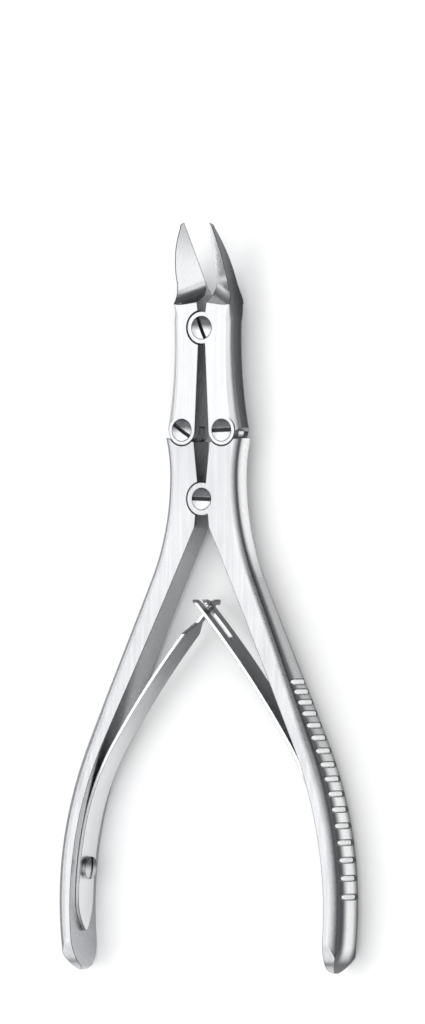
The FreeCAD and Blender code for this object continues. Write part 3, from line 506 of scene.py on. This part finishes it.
def makeSpringSteel(side, look=springSteel):
    material, tree, shader = startMaterial(f"{side}LeafSteel")
    coordinates = addNode(tree, "ShaderNodeTexCoord")
    place = coordinates.outputs["Object"]
    lines = pattern(tree, place, look["line"], detail=3.0)
    smudges = pattern(tree, place, look["smudge"], detail=3.0)
    mixed = average(tree, lines, smudges)
    # Painted shade: darker above the lower height, towards the crossing
    height = step(tree, split(tree, place)["Y"], look["lower"], look["upper"])
    paintedShade = calculate(tree, "MULTIPLY_ADD", mixed, look["cloud"], height)
    paintedShade = calculate(tree, "SUBTRACT", paintedShade, look["cloud"] / 2, clamp=True)
    colour = blendColours(tree, paintedShade, look["colour"], look["shade"])
    normal = split(tree, coordinates.outputs["Normal"])
    # Painted reflection on the left leaf's back, painted shade on the right leaf's back
    backed = step(tree, multiply(tree, normal["X"], inwardOf[side]), *look["backTurn"])
    colour = blendColours(tree, backed, colour, look["backColour"][side])
    # Lighter on the narrow edges that face up and down
    upDownEdge = step(tree, unsigned(tree, normal["Z"]), *look["edgeTurn"])
    colour = blendColours(tree, upDownEdge, colour, look["edgeColour"])
    wire(tree, spread(tree, mixed, *look["roughness"]), shader.inputs["Roughness"])
    # Dark lines of painted shade along sharp edges
    colour, rounded = lineEdges(tree, colour, look["edge"], look["lineColour"])
    finishSteel(tree, shader, colour, lines, rounded, look)
    return material


def dress(piece, material):
    piece.data.materials.clear()
    piece.data.materials.append(material)


# Round joint lines: X, Y and radius of the recess edges that show on each piece's front face,
# painted dark as shade in the gaps
jointLines = {
    "left_jaw": [(0.0, 0.0684475, 0.00434)],
    "right_jaw": [],
    "left_handle": [(0.0, 0.0249975, 0.00434), (-0.0058, 0.0424475, 0.00394)],
    "right_handle": [(0.0058, 0.0424475, 0.00394)],
}

for side, inward in inwardOf.items():
    for part, zones in (("jaw", jawLooks[side]), ("handle", handleLook)):
        name = f"{side}_{part}"
        steel = makeSatinSteel(f"{side}{part.title()}Steel", inward, zones, jointLines[name])
        frame["nodes"][name].data.materials[0] = steel
print("jaws and handles dressed")

for name in ("front_pivot_screw", "left_link_screw", "right_link_screw", "rear_pivot_screw"):
    low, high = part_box(name)
    centre = ((low.x + high.x) / 2, (low.y + high.y) / 2, 0.0)
    steel = makeScrewSteel(name.title().replace("_", ""), centre)
    frame["nodes"][name].data.materials[0] = steel
for name in ("left_spring_screw", "right_spring_screw"):
    low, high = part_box(name)
    centre = tuple((low + high) / 2)
    steel = makeScrewSteel(name.title().replace("_", ""), centre, screwSteel["springTurn"])
    frame["nodes"][name].data.materials[0] = steel
print("screws dressed")


# Leaf springs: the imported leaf, with cross lines enough to bend between its root and its tip
leafSpring = {
    "root": (0.0343, -0.0584, 0.0065),
    "tip": (0.0, -0.0032, 0.0065),
    "slice": 0.002,
    "weld": 0.000002,
    "cutNear": 0.00001,
    "sharp": 32.0,
}


def makeLeaf(side, look=leafSpring):
    source = frame["nodes"][f"{side}_leaf_spring"]
    makeActive(source)
    bpy.ops.object.duplicate()
    leaf = bpy.context.object
    leaf.name = f"{side}_leaf"
    leaf.parent = None
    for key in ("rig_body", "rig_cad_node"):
        del leaf[key]
    bpy.ops.object.mode_set(mode="EDIT")
    bpy.ops.mesh.select_all(action="SELECT")
    bpy.ops.mesh.remove_doubles(threshold=look["weld"])
    bpy.ops.mesh.customdata_custom_splitnormals_clear()
    low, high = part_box(f"{side}_leaf_spring")
    height = low.y + look["slice"]
    while height < high.y:
        bpy.ops.mesh.select_all(action="SELECT")
        bpy.ops.mesh.bisect(
            plane_co=(0, height, 0), plane_no=(0, 1, 0), threshold=look["cutNear"])
        height += look["slice"]
    bpy.ops.object.mode_set(mode="OBJECT")
    bpy.ops.object.shade_smooth_by_angle(angle=math.radians(look["sharp"]))
    dress(leaf, makeSpringSteel(side))
    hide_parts(f"{side}_leaf_spring")
    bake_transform(leaf)
    return leaf


for side in ("left", "right"):
    makeLeaf(side)

# Floor: pale matt board with a faint tooth
floorBoard = {
    "side": 3.0,
    "colour": (0.90, 0.90, 0.90),
    "shade": (0.87, 0.872, 0.875),
    "tooth": (0.004, 0.004, 0.004),
    "roughness": (0.62, 0.72),
    "shine": 0.2,
}


def makeFloor(look=floorBoard):
    deselect()
    bpy.ops.mesh.primitive_plane_add(size=look["side"], location=(0, 0, 0))
    floor = bpy.context.object
    floor.name = "floor"
    material, tree, shader = startMaterial("floorBoard")
    coordinates = addNode(tree, "ShaderNodeTexCoord")
    tooth = pattern(tree, coordinates.outputs["Object"], look["tooth"], detail=4.0)
    wire(tree, blendColours(tree, tooth, look["colour"], look["shade"]), shader.inputs["Base Color"])
    wire(tree, spread(tree, tooth, *look["roughness"]), shader.inputs["Roughness"])
    shader.inputs["Specular IOR Level"].default_value = look["shine"]
    dress(floor, material)
    floor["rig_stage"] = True
    return floor


makeFloor()
print("floor laid")

# Studio: large soft panels round the tool, and a grey room beyond them
studio = {
    "room": (0.50, 0.51, 0.52),
    "roomStrength": 0.44,
    "aim": (0.0, 0.0, 0.006),
    "panels": {
        # direction from the tool, distance, width, height, brightness, seen in the steel or not
        "frontPanel": ((-0.50, 0.02, 0.865), 0.75, 0.50, 0.62, 1.45, True),
        "skyPanel": ((0.20, 0.0, 1.0), 0.80, 0.78, 0.62, 1.15, True),
        "facetPanel": ((0.64, -0.56, 0.53), 0.75, 0.34, 0.24, 1.6, True),
        "leftStrip": ((-0.90, 0.0, 0.42), 0.75, 0.34, 0.80, 1.35, True),
        "sidePanel": ((0.99, 0.0, 0.14), 0.90, 0.26, 0.80, 0.7, True),
        "lowerPanel": ((-0.50, -0.66, 0.56), 0.80, 0.50, 0.66, 1.25, True),
        "overhead": ((0.0, 0.0, 1.0), 1.20, 1.60, 1.60, 0.65, False),
        "rightFill": ((0.80, 0.0, 0.60), 1.00, 0.60, 1.20, 1.2, True),
        "upperFill": ((0.0, 0.80, 0.60), 1.00, 1.20, 0.60, 1.2, False),
    },
}


def addPanel(name, towards, distance, width, height, brightness, shine):
    aim = Vector(studio["aim"])
    direction = Vector(towards).normalized()
    lamp = bpy.data.lights.new(name, "AREA")
    lamp.shape = "RECTANGLE"
    lamp.size = width
    lamp.size_y = height
    lamp.energy = brightness * math.pi * width * height
    panel = bpy.data.objects.new(name, lamp)
    bpy.context.scene.collection.objects.link(panel)
    panel.visible_glossy = shine
    up = Vector((0, 1, 0))
    across = up.cross(direction).normalized()
    up = direction.cross(across)
    turn = Matrix((across, up, direction)).transposed()
    panel.matrix_world = Matrix.Translation(aim + direction * distance) @ turn.to_4x4()
    return panel


for name, placing in studio["panels"].items():
    addPanel(name, *placing)

world = bpy.data.worlds.new("room")
world.use_nodes = True
background = world.node_tree.nodes["Background"]
background.inputs["Color"].default_value = (*studio["room"], 1.0)
background.inputs["Strength"].default_value = studio["roomStrength"]
bpy.context.scene.world = world
bpy.context.scene.view_settings.view_transform = "Standard"
print("studio lit")

# Camera: square to the blades' length, turned towards the right handle as in the photograph
camera = {
    "turn": 29.8,
    "distance": 4.0,
    "lens": 553.9,
    "sensor": 36.0,
    "nearest": 0.01,
    "aim": (0.0, 0.02167, 0.0065),
    "sideways": 0.000987,
}


def placeCamera(look=camera):
    turn = math.radians(look["turn"])
    back = Vector((math.sin(turn), 0, math.cos(turn)))
    right = Vector((math.cos(turn), 0, -math.sin(turn)))
    up = Vector((0, 1, 0))
    lens = bpy.data.cameras.new("camera")
    lens.lens = look["lens"]
    lens.sensor_width = look["sensor"]
    lens.clip_start = look["nearest"]
    viewer = bpy.data.objects.new("camera", lens)
    bpy.context.scene.collection.objects.link(viewer)
    place = Vector(look["aim"]) + right * look["sideways"] + back * look["distance"]
    turned = Matrix((right, up, back)).transposed()
    viewer.matrix_world = Matrix.Translation(place) @ turned.to_4x4()
    bpy.context.scene.camera = viewer


placeCamera()
print("camera placed")

low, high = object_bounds()
